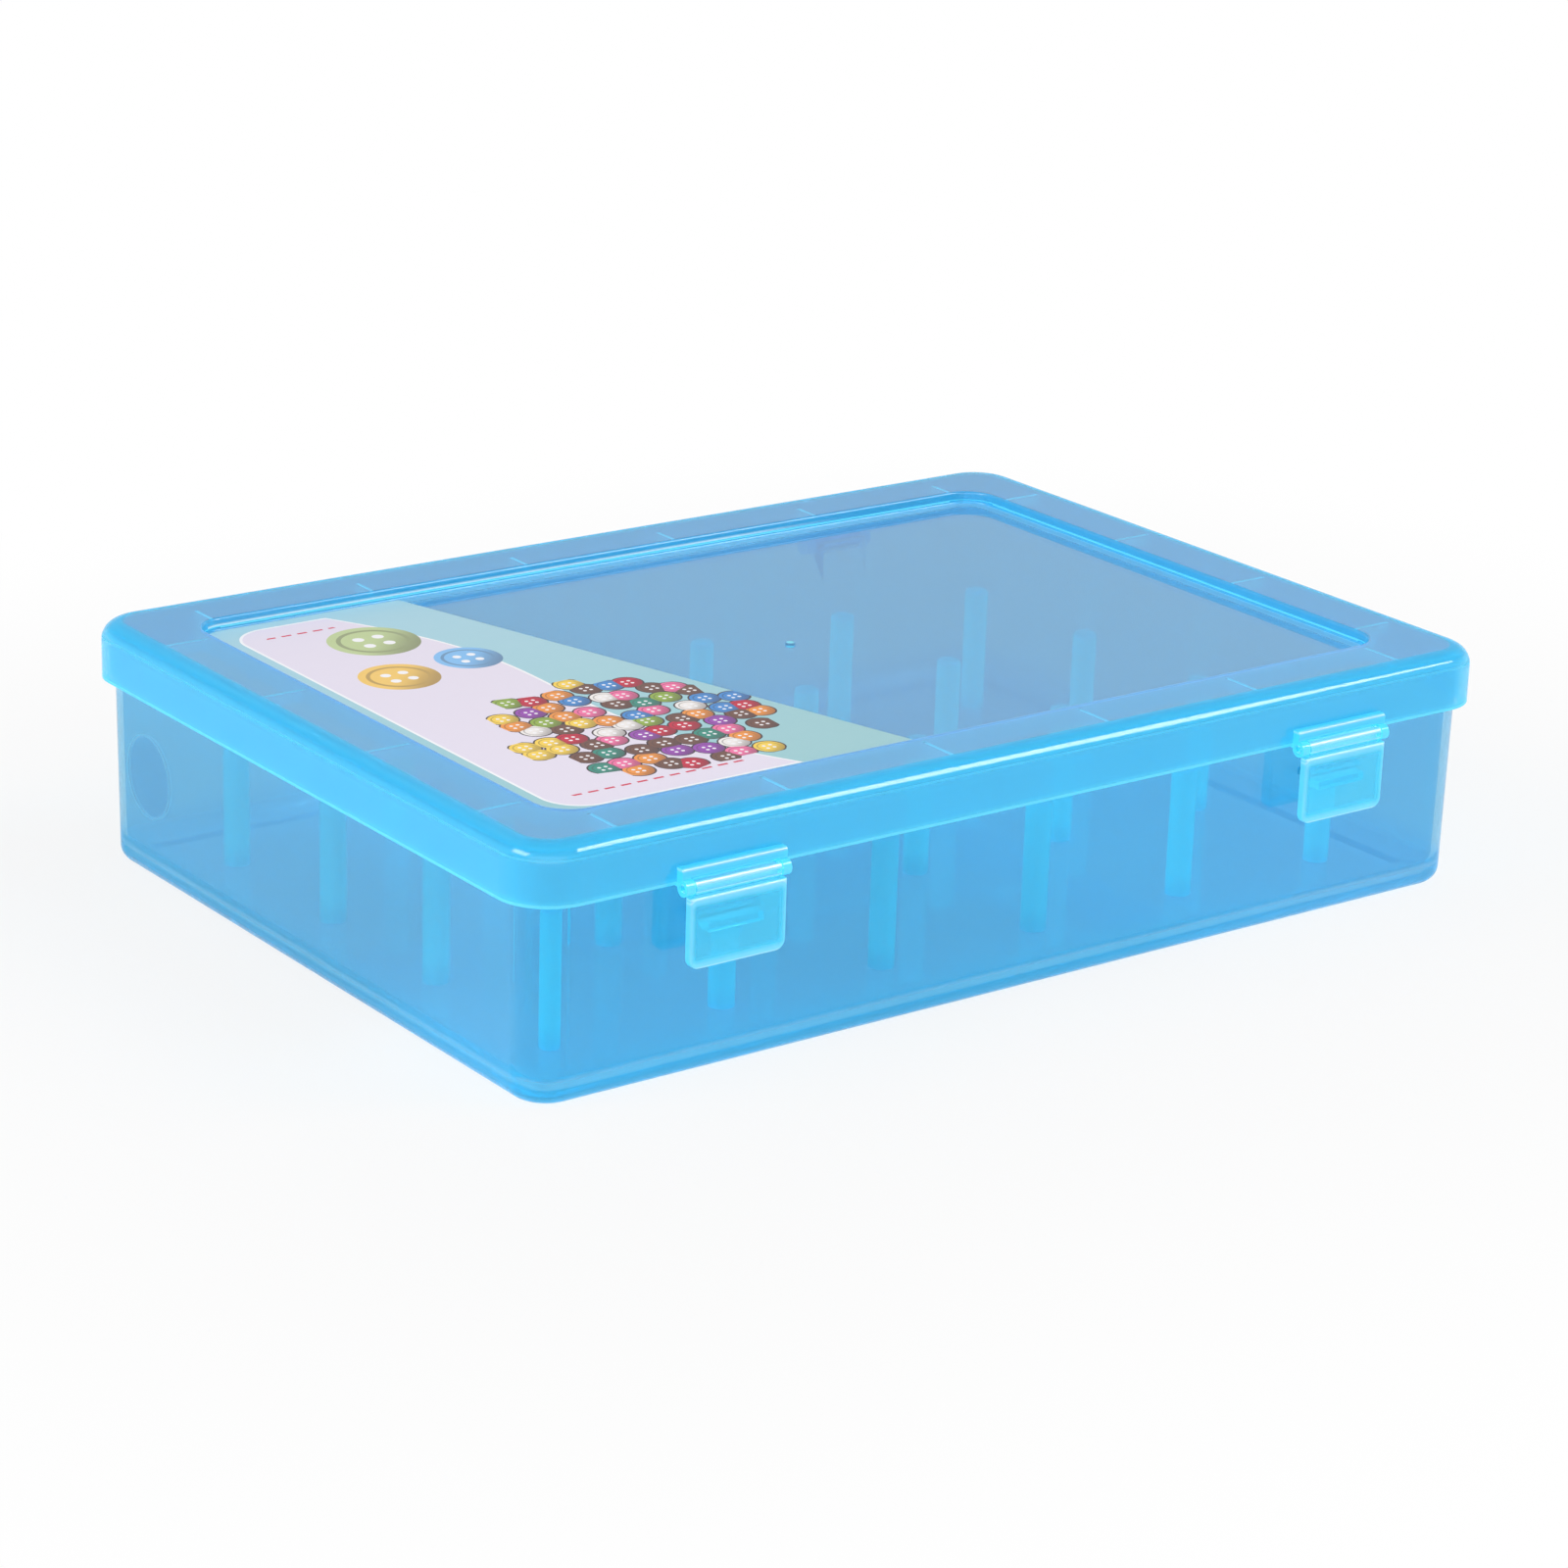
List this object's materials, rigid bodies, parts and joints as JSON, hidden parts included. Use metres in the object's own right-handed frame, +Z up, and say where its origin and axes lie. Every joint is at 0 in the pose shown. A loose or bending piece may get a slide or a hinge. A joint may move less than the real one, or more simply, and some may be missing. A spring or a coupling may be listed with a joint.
{
  "type": "thread storage box",
  "caption": "Flat clear blue plastic box with a hinged lid, snap latches, a printed card in the lid's recess and rows of upright pegs that hold reels of embroidery thread.",
  "frame": {"origin": "centre of the box's underside, on the table", "axes": "+X along the long front side to the right, +Y from the latches to the hinges, +Z up"},
  "size_m": [0.27, 0.199, 0.059],
  "materials": {
    "blue_plastic": "clear gloss",
    "peg_plastic": "gloss",
    "printed_card": "printed card with a satin film"
  },
  "bodies": {
    "base": {"base_tray": "blue_plastic", "thread_peg_1_1": "peg_plastic", "thread_peg_1_2": "peg_plastic", "thread_peg_1_3": "peg_plastic", "thread_peg_1_4": "peg_plastic", "thread_peg_1_5": "peg_plastic", "thread_peg_1_6": "peg_plastic", "thread_peg_2_1": "peg_plastic", "thread_peg_2_2": "peg_plastic", "thread_peg_2_3": "peg_plastic", "thread_peg_2_4": "peg_plastic", "thread_peg_2_5": "peg_plastic", "thread_peg_2_6": "peg_plastic", "thread_peg_3_1": "peg_plastic", "thread_peg_3_2": "peg_plastic", "thread_peg_3_3": "peg_plastic", "thread_peg_3_4": "peg_plastic", "thread_peg_3_5": "peg_plastic", "thread_peg_3_6": "peg_plastic", "thread_peg_4_1": "peg_plastic", "thread_peg_4_2": "peg_plastic", "thread_peg_4_3": "peg_plastic", "thread_peg_4_4": "peg_plastic", "thread_peg_4_5": "peg_plastic", "thread_peg_4_6": "peg_plastic"},
    "lid_body": {"lid": "blue_plastic", "label_card": "printed_card"},
    "left_latch": {"latch_left": "blue_plastic"},
    "right_latch": {"latch_right": "blue_plastic"}
  },
  "joints": [
    {"name": "lid_hinge", "type": "hinge", "parent": "base", "child": "lid_body", "pos_m": [0, 0.0972, 0.0432], "axis": [-1, 0, 0], "range_deg": [0, 110]},
    {"name": "left_latch_pivot", "type": "hinge", "parent": "lid_body", "child": "left_latch", "pos_m": [-0.0857, -0.0977, 0.0453], "axis": [-1, 0, 0], "range_deg": [0, 120]},
    {"name": "right_latch_pivot", "type": "hinge", "parent": "lid_body", "child": "right_latch", "pos_m": [0.0857, -0.0977, 0.0453], "axis": [-1, 0, 0], "range_deg": [0, 120]}
  ]
}
